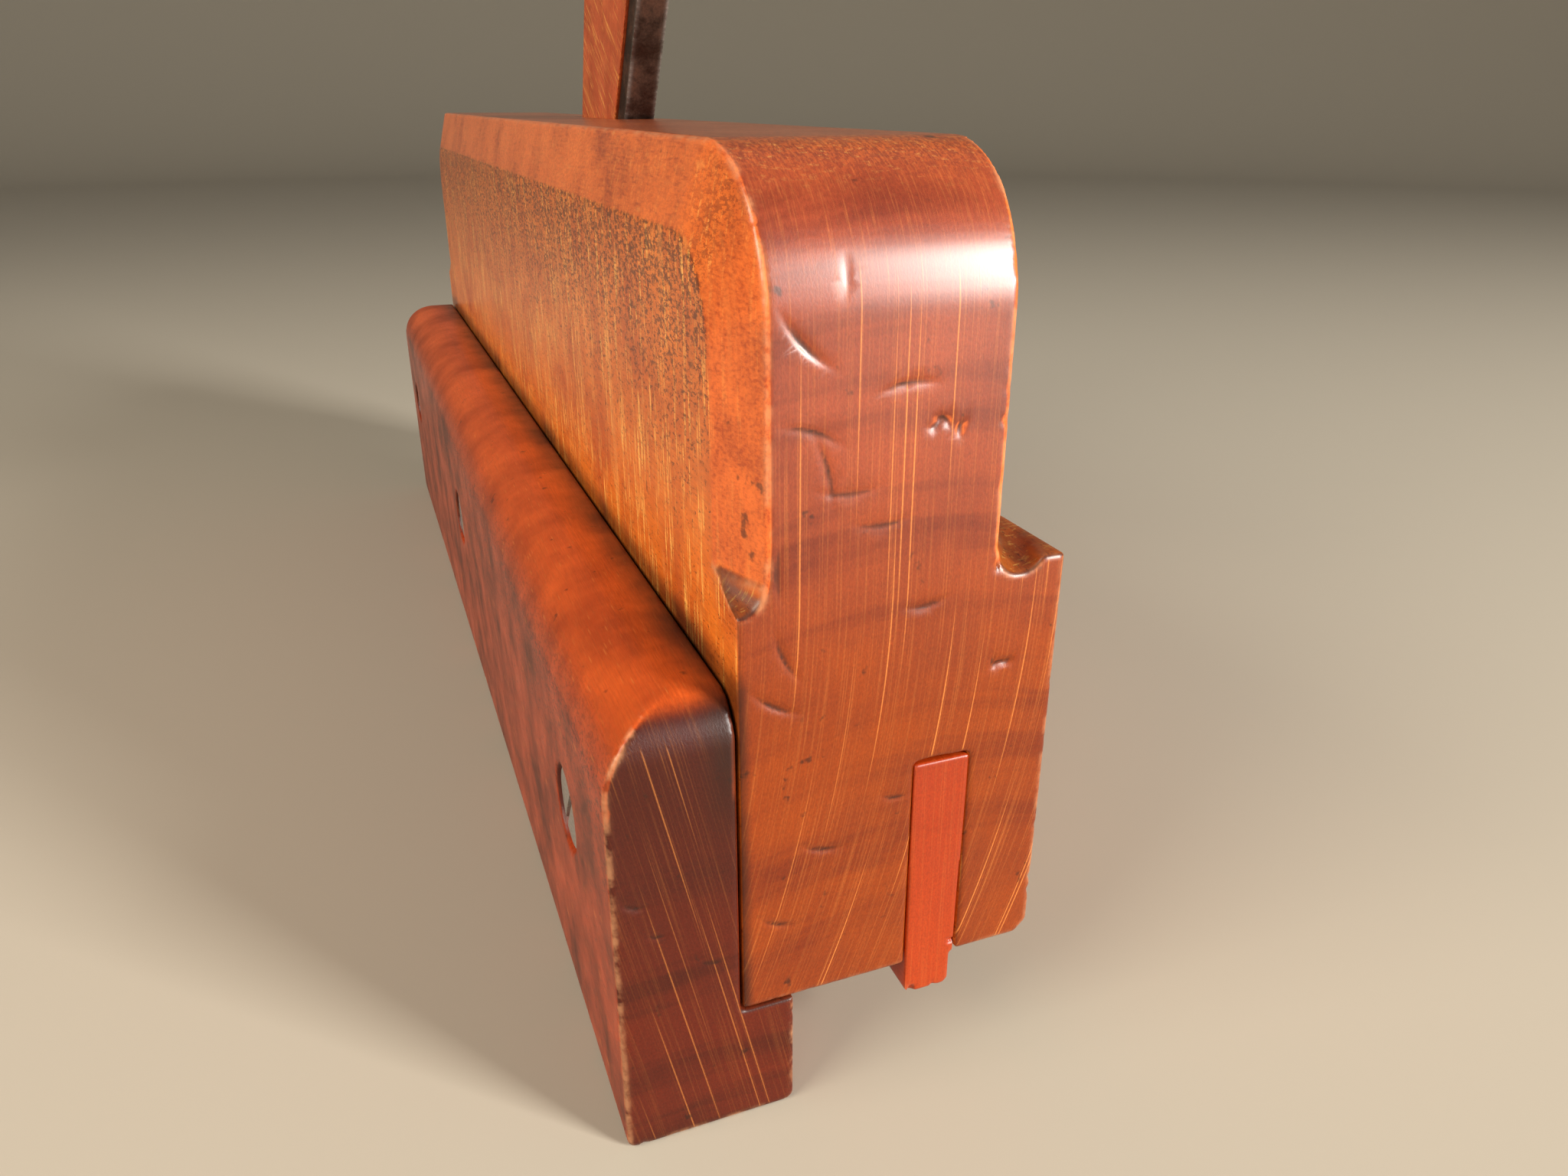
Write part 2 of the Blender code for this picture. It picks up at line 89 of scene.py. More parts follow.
class PlaneWear(bpy.types.PropertyGroup):
    """How worn the wood is."""
    cell: size("Cell", "Cell of the worn surface's mesh", 0.34 * MM)
    nick_size: size("Nick size", "Width of a nick in a worn edge", 1.3 * MM)
    nick_spacing: size("Nick spacing", "Distance between nicks along an edge", 2.2 * MM)
    # the pale band along edges is partly wear and partly a painted highlight
    edge_width: size("Edge width", "How far rubbing pales the wood from an edge", 0.4 * MM)
    seed: IntProperty(name="Seed", description="Which pattern of nicks is made", default=7)


class PlaneColours(bpy.types.PropertyGroup):
    """Colours of the woods and metals."""
    beech: colour("Beech end", "End grain of the stock, low down", "#7e3208")
    beech_dark: colour("Dark beech end", "End grain of the stock, where hands hold it", "#88391c")
    beech_face: colour("Beech face", "Long faces of the stock", "#dc7220")
    beech_face_dark: colour("Stained beech face", "Stains on the long faces", "#b9541a")
    beech_ring: colour("Beech rings", "Growth rings in the stock's ends", "#561806")
    beech_top: colour("Beech top", "Top of the stock, dark from hands", "#8a3514")
    chamfer: colour("Chamfer", "Cut corners of the stock", "#e8702c")
    chamfer_dark: colour("Chamfer stains", "Torn fibres on the cut corners", "#8c3210")
    beech_dot: colour("Beech speckle", "Fine dark speckle on the long faces", "#4e1e08")
    fleck: colour("Flecks", "Pale flecks on the long faces", "#ffc060")
    fence_band: colour("Fence band", "Dark stains on the fence's round top", "#6c2208")
    # pale edge colour: partly wood worn pale, partly a painted highlight along the arrises
    pale_edge: colour("Rubbed edges", "Wood paled by knocks along the edges", "#d09468")
    ray: colour("Rays", "Medullary rays of the beech", "#e08c44")
    # This colour darkens specks and the crescents of dents, and is also painted shade in upward
    # hollows and painted shadow along joints.
    grime_and_shade: colour("Grime", "Dirt in small hollows", "#24110a")
    fence: colour("Fence", "End grain of the fence", "#561a0a")
    fence_dark: colour("Dark fence", "Dark bands in the fence's end", "#3a1006")
    fence_face: colour("Fence face", "Long faces of the fence", "#a63a10")
    fence_top: colour("Fence top", "Rounded top of the fence", "#cc561c")
    boxwood: colour("Boxwood", "Slips in the sole", "#9a3206")
    boxwood_dark: colour("Dark boxwood", "Bands in the slips", "#842604")
    wedge: colour("Wedge", "Beech of the wedge", "#b8552c")
    wedge_dark: colour("Dark wedge", "Bands in the wedge", "#8e3a1a")
    iron: colour("Iron", "Forged iron", "#4a3a32")
    rust: colour("Rust", "Thin rust", "#4c2c1c")
    steel: colour("Steel", "Screw heads", "#b6b2ac")
    bright: colour("Bright steel", "Rubbed edges of the screws", "#d2cec8")
    floor: colour("Floor", "Pale floor", "#aaa292")


class PlaneStage(bpy.types.PropertyGroup):
    """Camera and light."""
    lens: FloatProperty(name="Lens", description="Focal length in mm on a 36 mm sensor",
                        default=25.68, min=10.0)
    camera: FloatVectorProperty(name="Camera", description="Where the camera stands",
                                default=(0.20678, -0.03965, 0.10338), subtype="TRANSLATION")
    turn: FloatProperty(name="Turn", description="Camera's turn from the plane's length",
                        default=math.radians(21.28), subtype="ANGLE", unit="ROTATION")
    tilt: FloatProperty(name="Tilt", description="Camera's tilt below level",
                        default=math.radians(23.56), subtype="ANGLE", unit="ROTATION")
    window: FloatProperty(name="Window", description="Window light's power", default=31.0,
                          subtype="POWER", unit="POWER")
    room: FloatProperty(name="Room", description="Power of the light from the left",
                        default=7.2, subtype="POWER", unit="POWER")
    doorway: FloatProperty(name="Doorway", description="Power of the strip behind the heel",
                           default=2.0, subtype="POWER", unit="POWER")


# ---- small tools ------------------------------------------------------------------
def link(obj):
    """Put an object in the scene."""
    bpy.context.scene.collection.objects.link(obj)
    return obj


def evaluated_mesh(obj):
    """The plain mesh that an object's modifiers give."""
    bpy.context.view_layer.update()
    graph = bpy.context.evaluated_depsgraph_get()
    return bpy.data.meshes.new_from_object(obj.evaluated_get(graph))


def bake(obj):
    """Replace an object's mesh by what its modifiers make of it."""
    mesh = evaluated_mesh(obj)
    obj.modifiers.clear()
    old = obj.data
    obj.data = mesh
    bpy.data.meshes.remove(old)
    return obj


def merged_copy(name, *nodes):
    """One object with closed copies of CAD nodes, their loose triangles merged."""
    work = bmesh.new()
    for node in nodes:
        work.from_mesh(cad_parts[node].data)
    bmesh.ops.remove_doubles(work, verts=work.verts, dist=2e-6)
    bmesh.ops.dissolve_degenerate(work, edges=work.edges, dist=1e-6)
    mesh = bpy.data.meshes.new(name)
    work.to_mesh(mesh)
    work.free()
    return link(bpy.data.objects.new(name, mesh))


def modifier(obj, kind, **settings):
    """Add a modifier with its settings."""
    made = obj.modifiers.new(kind.lower(), kind)
    for key, value in settings.items():
        setattr(made, key, value)
    return made


def cut(obj, cutter):
    """Cut one mesh with another, and throw the cutter away."""
    modifier(obj, "BOOLEAN", operation="DIFFERENCE", solver="EXACT", use_self=True,
             object=cutter)
    bake(obj)
    bpy.data.objects.remove(cutter)
    return obj


def arrises(obj, least=35):
    """The ends of every outward edge of a mesh that is sharper than an angle."""
    shape = bmesh.new()
    shape.from_mesh(obj.data)
    shape.normal_update()
    ends = [[v.co.copy() for v in edge.verts] for edge in shape.edges
            if edge.is_manifold and edge.is_convex
            and edge.calc_face_angle(0) > math.radians(least)]
    shape.free()
    return ends


def nicks(edges, width, spacing, seed):
    """Small pebbles scattered along edges, to be cut out of a piece."""
    tree = bpy.data.node_groups.new("nicks along edges", "GeometryNodeTree")
    sockets = {}
    for name, kind in (("Edges", "Geometry"), ("Width", "Float"), ("Spacing", "Float"),
                       ("Seed", "Int"), ("Material", "Material")):
        sockets[name] = tree.interface.new_socket(
            name=name, in_out="INPUT", socket_type="NodeSocket" + kind).identifier
    tree.interface.new_socket(name="Nicks", in_out="OUTPUT", socket_type="NodeSocketGeometry")
    given = add(tree, "NodeGroupInput").outputs
    curves = add(tree, "GeometryNodeMeshToCurve", Mesh=given["Edges"])
    points = add(tree, "GeometryNodeResampleCurve", {"mode": "LENGTH"},
                 Curve=curves, Length=given["Spacing"])
    reach = add(tree, "ShaderNodeVectorMath", {"operation": "SCALE"},
                i0=(1.0, 1.0, 1.0), Scale=given["Spacing"])
    back = add(tree, "ShaderNodeVectorMath", {"operation": "SCALE"}, i0=reach, Scale=-1.0)
    jump = add(tree, "FunctionNodeRandomValue", {"data_type": "FLOAT_VECTOR"},
               Min=back, Max=reach, Seed=given["Seed"])
    along = add(tree, "ShaderNodeVectorMath", {"operation": "MULTIPLY"}, i0=jump,
                i1=add(tree, "GeometryNodeInputTangent"))
    moved = add(tree, "GeometryNodeSetPosition", Geometry=points, Offset=along)
    pebble = add(tree, "GeometryNodeMeshIcoSphere", Radius=given["Width"], Subdivisions=1)
    turn = add(tree, "FunctionNodeRandomValue", {"data_type": "FLOAT_VECTOR"},
               Min=(0.0, 0.0, 0.0), Max=(6.3, 6.3, 6.3), Seed=given["Seed"])
    grow = add(tree, "FunctionNodeRandomValue", {"data_type": "FLOAT_VECTOR"},
               Min=(0.15, 0.12, 0.10), Max=(0.8, 0.6, 0.5), Seed=given["Seed"])
    some = add(tree, "FunctionNodeRandomValue", {"data_type": "BOOLEAN"},
               Probability=0.6, Seed=given["Seed"])
    scattered = add(tree, "GeometryNodeInstanceOnPoints", Points=moved, Selection=some,
                    Instance=pebble, Rotation=turn, Scale=grow)
    real = add(tree, "GeometryNodeRealizeInstances", Geometry=scattered)
    dressed = add(tree, "GeometryNodeSetMaterial", Geometry=real, Material=given["Material"])
    add(tree, "NodeGroupOutput", Nicks=dressed)
    shape = bmesh.new()
    for start, end in edges:
        shape.edges.new((shape.verts.new(start), shape.verts.new(end)))
    bmesh.ops.remove_doubles(shape, verts=shape.verts, dist=1e-5)
    mesh = bpy.data.meshes.new("nick edges")
    shape.to_mesh(mesh)
    shape.free()
    cutter = link(bpy.data.objects.new("nick_cutter", mesh))
    made = modifier(cutter, "NODES", node_group=tree)
    made[sockets["Width"]] = width
    made[sockets["Spacing"]] = spacing
    made[sockets["Seed"]] = seed
    return bake(cutter)


def dent(points, marks):
    """Press slanted round marks into an end face, and tell how deep each point lies."""
    pressed = np.zeros(len(points))
    for across, up, turn, radius, depth in marks:
        side = points[:, 1] / MM - across
        high = points[:, 2] / MM - up
        angle = math.radians(turn)
        centre_side = side + radius * math.cos(angle)
        centre_high = high + radius * math.sin(angle)
        toward = centre_side * math.cos(angle) + centre_high * math.sin(angle)
        near = np.clip((radius - np.hypot(centre_side, centre_high)) / 0.35, 0, 1)
        width = max(1.2, 0.12 * radius)
        floor = np.clip((toward - radius + width) / width, 0, 1)
        face = np.clip((points[:, 0] - HEEL) / MM + 1.2, 0, 1)
        sunk = near * floor * face
        points[:, 0] -= depth * MM * sunk
        pressed = np.maximum(pressed, sunk)
    return pressed


def exposed(edges, *own):
    """Those edges that don't lie in a joint with another piece."""
    others = bmesh.new()
    for name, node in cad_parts.items():
        if name not in own:
            others.from_mesh(node.data)
    tree = BVHTree.FromBMesh(others)
    others.free()
    reach = 0.8 * MM
    return [edge for edge in edges if tree.find_nearest((edge[0] + edge[1]) / 2, reach)[0] is None]


def worn(obj, own, settings, ends=(), marks=(), cell=None, triangles=150000):
    """A wooden piece with nicked, hand-rounded edges, dents and a pale-edge attribute that marks
    worn edges and a painted highlight.
    """
    sharp = exposed(arrises(obj), *own)
    cell = cell or settings.cell
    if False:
        cell = max(cell, 1.0 * MM)
    elif ends:
        chosen = [edge for edge in sharp if ends(edge)]
        cut(obj, nicks(chosen, settings.nick_size, settings.nick_spacing, settings.seed))
    modifier(obj, "REMESH", mode="VOXEL", voxel_size=cell, adaptivity=0.0)
    modifier(obj, "SMOOTH", factor=0.5, iterations=2)
    bake(obj)
    points = np.empty(len(obj.data.vertices) * 3)
    obj.data.vertices.foreach_get("co", points)
    points = points.reshape(-1, 3)
    pressed = dent(points, marks)
    stored = obj.data.attributes.new("pressed", "FLOAT", "POINT")
    stored.data.foreach_set("value", pressed)
    obj.data.vertices.foreach_set("co", points.ravel())
    count = 2 * len(obj.data.polygons)
    if count > triangles:
        modifier(obj, "DECIMATE", decimate_type="COLLAPSE", ratio=triangles / count)
        bake(obj)
    store_edge_nearness(obj, sharp, settings.edge_width)
    return shade(obj, 50)


def store_edge_nearness(obj, edges, width):
    """Store how close each point lies to an edge, so that the finish pales there; on wood this is
    partly wear and partly a painted highlight.
    """
    steps = [(a, b, max(1, int((a - b).length / (0.4 * MM)))) for a, b in edges]
    spots = [a.lerp(b, i / n) for a, b, n in steps for i in range(n + 1)]
    tree = KDTree(len(spots))
    for i, spot in enumerate(spots):
        tree.insert(spot, i)
    tree.balance()
    near = [tree.find(v.co)[2] for v in obj.data.vertices]
    stored = obj.data.attributes.new("pale_edge", "FLOAT", "POINT")
    stored.data.foreach_set("value", np.exp(-np.square(np.array(near) / width)))


def shade(obj, angle=30):
    """Smooth shading that keeps edges sharper than the angle."""
    obj.data.shade_smooth()
    obj.data.set_sharp_from_angle(angle=math.radians(angle))
    return obj


def dress(obj, look, slot, body, *nodes):
    """Give a finished piece its material and its place in the frame."""
    obj.data.materials.clear()
    obj.data.materials.append(look)
    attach(obj, body)
    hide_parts(*nodes)
    return obj


# ---- nodes ------------------------------------------------------------------------
def add(tree, kind, settings=None, **inputs):
    """Add a node, set its settings, and set or link its inputs by name, or by place as i0."""
    node = tree.nodes.new(kind)
    for key, value in (settings or {}).items():
        setattr(node, key, value)
    for key, value in inputs.items():
        if key[0] == "i" and key[1:].isdigit():
            socket = node.inputs[int(key[1:])]
        else:
            name = key.replace("_", " ")
            socket = next(s for s in node.inputs if s.name == name and s.enabled)
        if isinstance(value, bpy.types.Node):
            value = next(s for s in value.outputs if s.enabled)
        if isinstance(value, bpy.types.NodeSocket):
            tree.links.new(value, socket)
        else:
            socket.default_value = value
    return node


MATH = "ShaderNodeMath"
RANGE = "ShaderNodeMapRange"
NOISE = "ShaderNodeTexNoise"
MIX = "ShaderNodeMix"
BLEND = {"data_type": "RGBA"}
TINT = {"data_type": "RGBA", "blend_type": "MULTIPLY"}
SOFT_STEP = {"interpolation_type": "SMOOTHSTEP"}


def solid(values):
    """A colour for a node: red, green, blue and full alpha."""
    return (*values, 1.0)


def new_material(name):
    """An empty node material and its tree."""
    material = bpy.data.materials.new(name)
    material.use_nodes = True
    material.node_tree.nodes.clear()
    return material, material.node_tree


def wood(name, look):
    """Waxed, handled wood with its grain along its own length.

    To the eye: a red-brown body colour under a thin gloss, pale hair-thin rays that run
    up through the piece, fine dark pores along it, and stains where hands have held it.
    """
    material, tree = new_material(name)
    place = add(tree, "ShaderNodeTexCoord")
    grain = add(tree, "ShaderNodeMapping", Vector=place.outputs["Object"],
                Rotation=(0.0, look.get("turn", 0.0), 0.0), Scale=(1 / MM, 1 / MM, 1 / MM))
    along, across, up = add(tree, "ShaderNodeSeparateXYZ", Vector=grain).outputs
    facing = add(tree, "ShaderNodeSeparateXYZ", Vector=place.outputs["Normal"]).outputs
    # rays stand upright, and lean over below a level in the piece
    below = add(tree, MATH, {"operation": "SUBTRACT"}, i0=look["level"], i1=up)
    sunk = add(tree, MATH, {"operation": "MAXIMUM"}, i0=below, i1=0.0)
    curve = add(tree, MATH, {"operation": "MULTIPLY_ADD"}, i0=sunk, i1=look["bend"],
                i2=look["slant"])
    lean = add(tree, MATH, {"operation": "MULTIPLY_ADD"}, i0=sunk, i1=curve, i2=across)
    fibre = add(tree, "ShaderNodeCombineXYZ", X=along, Y=lean, Z=up)
    # rays are hair-thin lines, a few millimetres along the grain and many times taller
    ray_place = add(tree, "ShaderNodeVectorMath", {"operation": "MULTIPLY"}, i0=fibre,
                    i1=look.get("ray_scale", (0.24, 2.3, 0.011)))
    cells = add(tree, "ShaderNodeTexVoronoi", {"feature": "F1"}, Vector=ray_place, Scale=1.0)
    thin = add(tree, RANGE, SOFT_STEP, Value=cells.outputs["Distance"], From_Min=0.25,
               From_Max=0.10)
    chance = add(tree, "ShaderNodeSeparateColor", Color=cells.outputs["Color"])
    strong = add(tree, RANGE, Value=chance, From_Min=0.25, From_Max=0.9)
    # worn round ends are too polished to show them
    rounding = add(tree, MATH, {"operation": "MULTIPLY"}, i0=facing[0], i1=facing[2])
    turned = add(tree, MATH, {"operation": "ABSOLUTE"}, i0=rounding)
    open_grain = add(tree, RANGE, SOFT_STEP, Value=turned, From_Min=0.45, From_Max=0.12)
    seen = add(tree, MATH, {"operation": "MULTIPLY"}, i0=thin, i1=strong)
    rays = add(tree, MATH, {"operation": "MULTIPLY"}, i0=seen, i1=open_grain)
    hair_place = add(tree, "ShaderNodeVectorMath", {"operation": "MULTIPLY"}, i0=fibre,
                     i1=(0.35, 5.5, 0.05))
    hair = add(tree, NOISE, Vector=hair_place, Scale=1.0, Detail=2.0)
    hairs = add(tree, RANGE, Value=hair, From_Min=0.52, From_Max=0.75)
    # pores are 0.1 mm dashes along the grain, and dots at the ends
    pore_place = add(tree, "ShaderNodeVectorMath", {"operation": "MULTIPLY"}, i0=fibre,
                     i1=(0.30, 5.0, 3.0))
    pore = add(tree, NOISE, Vector=pore_place, Scale=1.0, Detail=3.0, Roughness=0.65)
    # growth rings are bands 3 to 5 mm apart, arched across the piece
    aside = add(tree, MATH, {"operation": "SUBTRACT"}, i0=across, i1=look["middle"])
    arch = add(tree, MATH, {"operation": "MULTIPLY"}, i0=aside, i1=aside)
    ring_height = add(tree, MATH, {"operation": "MULTIPLY_ADD"}, i0=arch, i1=0.008, i2=up)
    ring_place = add(tree, "ShaderNodeCombineXYZ",
                     X=add(tree, MATH, {"operation": "MULTIPLY"}, i0=along, i1=0.006),
                     Y=add(tree, MATH, {"operation": "MULTIPLY"}, i0=across, i1=0.02),
                     Z=add(tree, MATH, {"operation": "MULTIPLY"}, i0=ring_height, i1=0.26))
    ring = add(tree, NOISE, Vector=ring_place, Scale=1.0, Detail=3.0, Roughness=0.55)
    rings = add(tree, RANGE, SOFT_STEP, Value=ring, From_Min=0.46, From_Max=0.66)
    # hands leave broad uneven stains, and a few small dark ones
    stain = add(tree, NOISE, Vector=grain, Scale=0.085, Detail=4.0, Roughness=0.6)
    stains = add(tree, RANGE, Value=stain, From_Min=0.35, From_Max=0.65)
    speck = add(tree, NOISE, Vector=grain, Scale=0.42, Detail=3.0, Roughness=0.6)
    specks = add(tree, RANGE, SOFT_STEP, Value=speck, From_Min=0.66, From_Max=0.76)
    # on the long faces the rays are short upright flecks, under a fine dark speckle
    fleck_place = add(tree, "ShaderNodeVectorMath", {"operation": "MULTIPLY"}, i0=grain,
                      i1=(2.4, 0.8, 0.13))
    fleck = add(tree, NOISE, Vector=fleck_place, Scale=1.0, Detail=3.0, Roughness=0.6)
    flecks = add(tree, RANGE, SOFT_STEP, Value=fleck, From_Min=0.55, From_Max=0.66)
    dot_place = add(tree, "ShaderNodeVectorMath", {"operation": "MULTIPLY"}, i0=grain,
                    i1=(1.3, 2.6, 2.6))
    dot = add(tree, NOISE, Vector=dot_place, Scale=1.0, Detail=4.0, Roughness=0.75)
    near_top = add(tree, RANGE, SOFT_STEP, Value=up, From_Min=look["speckle"][0],
                   From_Max=look["speckle"][1], To_Min=0.58, To_Max=0.46)
    past = add(tree, MATH, {"operation": "SUBTRACT"}, i0=dot, i1=near_top)
    dots = add(tree, RANGE, Value=past, From_Min=0.0, From_Max=0.08, To_Max=0.85)
    # colour: faces, then ends, then the cut corners between them
    across_grain = add(tree, MATH, {"operation": "ABSOLUTE"}, i0=facing[0])
    end = add(tree, RANGE, SOFT_STEP, Value=across_grain, From_Min=0.30, From_Max=0.78)
    corner_a = add(tree, MATH, {"operation": "MULTIPLY"}, i0=facing[0], i1=facing[1])
    corner_b = add(tree, MATH, {"operation": "MULTIPLY"}, i0=facing[2], i1=facing[1])
    corners = add(tree, MATH, {"operation": "MAXIMUM"},
                  i0=add(tree, MATH, {"operation": "ABSOLUTE"}, i0=corner_a),
                  i1=add(tree, MATH, {"operation": "ABSOLUTE"}, i0=corner_b))
    cut_away = add(tree, RANGE, SOFT_STEP, Value=corners, From_Min=0.12, From_Max=0.30,
                   To_Max=look["corner_share"])
    raised = add(tree, RANGE, SOFT_STEP, Value=up, From_Min=look["corner_from"] - 1.0,
                 From_Max=look["corner_from"] + 1.0)
    corner = add(tree, MATH, {"operation": "MULTIPLY"}, i0=cut_away, i1=raised)
    clean = add(tree, MIX, BLEND, Factor=stains, A=solid(look["face"]),
                B=solid(look["face_dark"]))
    fleck_share = add(tree, MATH, {"operation": "MULTIPLY"}, i0=flecks, i1=look["flecks"])
    flecked = add(tree, MIX, BLEND, Factor=fleck_share, A=clean, B=solid(look["fleck"]))
    face = add(tree, MIX, BLEND, Factor=dots, A=flecked, B=solid(look["dot"]))
    low, high = look["patina"]
    held = add(tree, RANGE, SOFT_STEP, Value=up, From_Min=low, From_Max=high)
    ends = add(tree, MIX, BLEND, Factor=held, A=solid(look["end"]), B=solid(look["end_dark"]))
    banded = add(tree, MATH, {"operation": "MULTIPLY"}, i0=rings, i1=look["rings"])
    smoky = add(tree, MATH, {"operation": "MULTIPLY_ADD"}, i0=stains, i1=look["smoke"],
                i2=banded)
    ringed = add(tree, MIX, BLEND, Factor=smoky, A=ends, B=solid(look["ring"]))
    crown = add(tree, RANGE, SOFT_STEP, Value=facing[2], From_Min=0.35, From_Max=0.85,
                To_Max=look["top_share"])
    topmost = add(tree, MATH, {"operation": "MULTIPLY"}, i0=crown, i1=raised)
    top_stain = add(tree, MATH, {"operation": "MULTIPLY"}, i0=stains, i1=0.6)
    top = add(tree, MIX, BLEND, Factor=top_stain, A=solid(look["top"]),
              B=solid(look["top_dark"]))
    topped = add(tree, MIX, BLEND, Factor=topmost, A=face, B=top)
    body = add(tree, MIX, BLEND, Factor=end, A=topped, B=ringed)
    fuzz = add(tree, MATH, {"operation": "ADD"}, i0=pore, i1=stain)
    torn = add(tree, RANGE, Value=fuzz, From_Min=0.90, From_Max=1.24, To_Max=0.9)
    crossed = add(tree, MIX, BLEND, Factor=torn, A=solid(look["corner"]),
                  B=solid(look["corner_dark"]))
    cornered = add(tree, MIX, BLEND, Factor=corner, A=body, B=crossed)
    hair_share = add(tree, MATH, {"operation": "MULTIPLY"}, i0=hairs, i1=look["hairs"])
    haired = add(tree, MIX, BLEND, Factor=hair_share, A=cornered, B=solid(look["ray"]))
    ray_share = add(tree, MATH, {"operation": "MULTIPLY"}, i0=rays, i1=look["rays"])
    rayed = add(tree, MIX, BLEND, Factor=ray_share, A=haired, B=solid(look["ray"]))
    tone = add(tree, RANGE, Value=pore, From_Min=0.3, From_Max=0.7, To_Min=0.80, To_Max=1.15)
    pored = add(tree, MIX, TINT, Factor=1.0, A=rayed, B=tone)
    dents = add(tree, "ShaderNodeAttribute", {"attribute_name": "pressed"})
    spotted = add(tree, MATH, {"operation": "MULTIPLY"}, i0=specks, i1=look["specks"])
    rim = add(tree, RANGE, SOFT_STEP, Value=dents.outputs["Fac"], From_Min=0.22,
              From_Max=0.8, To_Max=0.95)
    dark = add(tree, MATH, {"operation": "MAXIMUM"}, i0=rim, i1=spotted)
    specked = add(tree, MIX, BLEND, Factor=dark, A=pored, B=solid(look["grime_and_shade"]))
    # paler near outer edges: partly worn wood, partly a painted highlight along the arrises
    pale_edge = add(tree, "ShaderNodeAttribute", {"attribute_name": "pale_edge"})
    patchy = add(tree, RANGE, Value=speck, From_Min=0.42, From_Max=0.60,
                 To_Max=look["pale_edge"])
    pale_edge_share = add(tree, MATH, {"operation": "MULTIPLY"}, i0=pale_edge.outputs["Fac"], i1=patchy)
    paled = add(tree, MIX, BLEND, Factor=pale_edge_share, A=specked, B=solid(look["edge"]))
    # painted shade in hollows that face up, and painted shadow with a dark patina along the joint
    # with the next piece
    (floor_low, floor_high), (side_from, side_to), (up_from, up_to) = look["shade_and_dirt"]
    upward = add(tree, RANGE, SOFT_STEP, Value=facing[2], From_Min=0.15, From_Max=0.55)
    over = add(tree, RANGE, SOFT_STEP, Value=up, From_Min=floor_low - 1, From_Max=floor_low)
    under = add(tree, RANGE, SOFT_STEP, Value=up, From_Min=floor_high + 1,
                From_Max=floor_high)
    between = add(tree, MATH, {"operation": "MULTIPLY"}, i0=over, i1=under)
    hollow = add(tree, MATH, {"operation": "MULTIPLY"}, i0=upward, i1=between)
    beside = add(tree, RANGE, SOFT_STEP, Value=across, From_Min=side_from, From_Max=side_to)
    above = add(tree, RANGE, SOFT_STEP, Value=up, From_Min=up_from, From_Max=up_to)
    joint = add(tree, MATH, {"operation": "MULTIPLY"}, i0=beside, i1=above)
    shade_and_dirt = add(tree, MATH, {"operation": "MAXIMUM"}, i0=hollow, i1=joint)
    uneven = add(tree, RANGE, Value=stain, From_Min=0.3, From_Max=0.7, To_Min=0.45,
                 To_Max=0.85)
    shade_and_dirt_share = add(tree, MATH, {"operation": "MULTIPLY"}, i0=shade_and_dirt, i1=uneven)
    final = add(tree, MIX, BLEND, Factor=shade_and_dirt_share, A=paled, B=solid(look["grime_and_shade"]))
    # wax gloss, broken by pores and softer in the stains
    dull = add(tree, RANGE, Value=stain, From_Min=0.3, From_Max=0.7,
               To_Min=look["gloss"][0], To_Max=look["gloss"][1])
    # hands polish the upper part more than the lower
    polish = add(tree, RANGE, Value=held, To_Min=0.4 * look["wax"], To_Max=look["wax"])
    relief = add(tree, MATH, {"operation": "MULTIPLY_ADD"}, i0=rays, i1=0.35, i2=pore)
    bump = add(tree, "ShaderNodeBump", Strength=0.5, Distance=look["relief"] * MM,
               Height=relief)
    shader = add(tree, "ShaderNodeBsdfPrincipled", Base_Color=final, Roughness=dull,
                 IOR=1.5, Specular_IOR_Level=look["specular"], Normal=bump,
                 Coat_Weight=polish, Coat_Roughness=look.get("haze", 0.25), Coat_IOR=1.45)
    add(tree, "ShaderNodeOutputMaterial", Surface=shader)
    return material


def metal(name, look):
    """Old metal: forged or turned, with thin rust in its hollows.

    To the eye: a dull dark sheen broken by brown patches, brighter near its worn edges.
    """
    material, tree = new_material(name)
    place = add(tree, "ShaderNodeTexCoord")
    mm = add(tree, "ShaderNodeMapping", Vector=place.outputs["Object"],
             Scale=(1 / MM, 1 / MM, 1 / MM))
    patch = add(tree, NOISE, Vector=mm, Scale=look["patch"], Detail=5.0, Roughness=0.62)
    rust = add(tree, RANGE, SOFT_STEP, Value=patch, From_Min=0.45, From_Max=0.68,
               To_Max=look["rusted"])
    pit = add(tree, NOISE, Vector=mm, Scale=2.2, Detail=4.0, Roughness=0.6)
    pits = add(tree, RANGE, Value=pit, From_Min=0.35, From_Max=0.65, To_Min=0.75, To_Max=1.15)
    rusty = add(tree, MIX, BLEND, Factor=rust, A=solid(look["metal"]), B=solid(look["rust"]))
    pitted = add(tree, MIX, TINT, Factor=1.0, A=rusty, B=pits)
    pale_edge = add(tree, "ShaderNodeAttribute", {"attribute_name": "pale_edge"})
    pale_edge_share = add(tree, MATH, {"operation": "MULTIPLY"}, i0=pale_edge.outputs["Fac"], i1=0.35)
    final = add(tree, MIX, BLEND, Factor=pale_edge_share, A=pitted, B=solid(look["bright"]))
    rough = add(tree, RANGE, Value=patch, From_Min=0.3, From_Max=0.7,
                To_Min=look["gloss"][0], To_Max=look["gloss"][1])
    shine = add(tree, RANGE, Value=rust, To_Min=1.0, To_Max=0.35)
    bump = add(tree, "ShaderNodeBump", Strength=0.6, Distance=0.05 * MM, Height=pit)
    shader = add(tree, "ShaderNodeBsdfPrincipled", Base_Color=final, Metallic=shine,
                 Roughness=rough, Normal=bump)
    add(tree, "ShaderNodeOutputMaterial", Surface=shader)
    return material


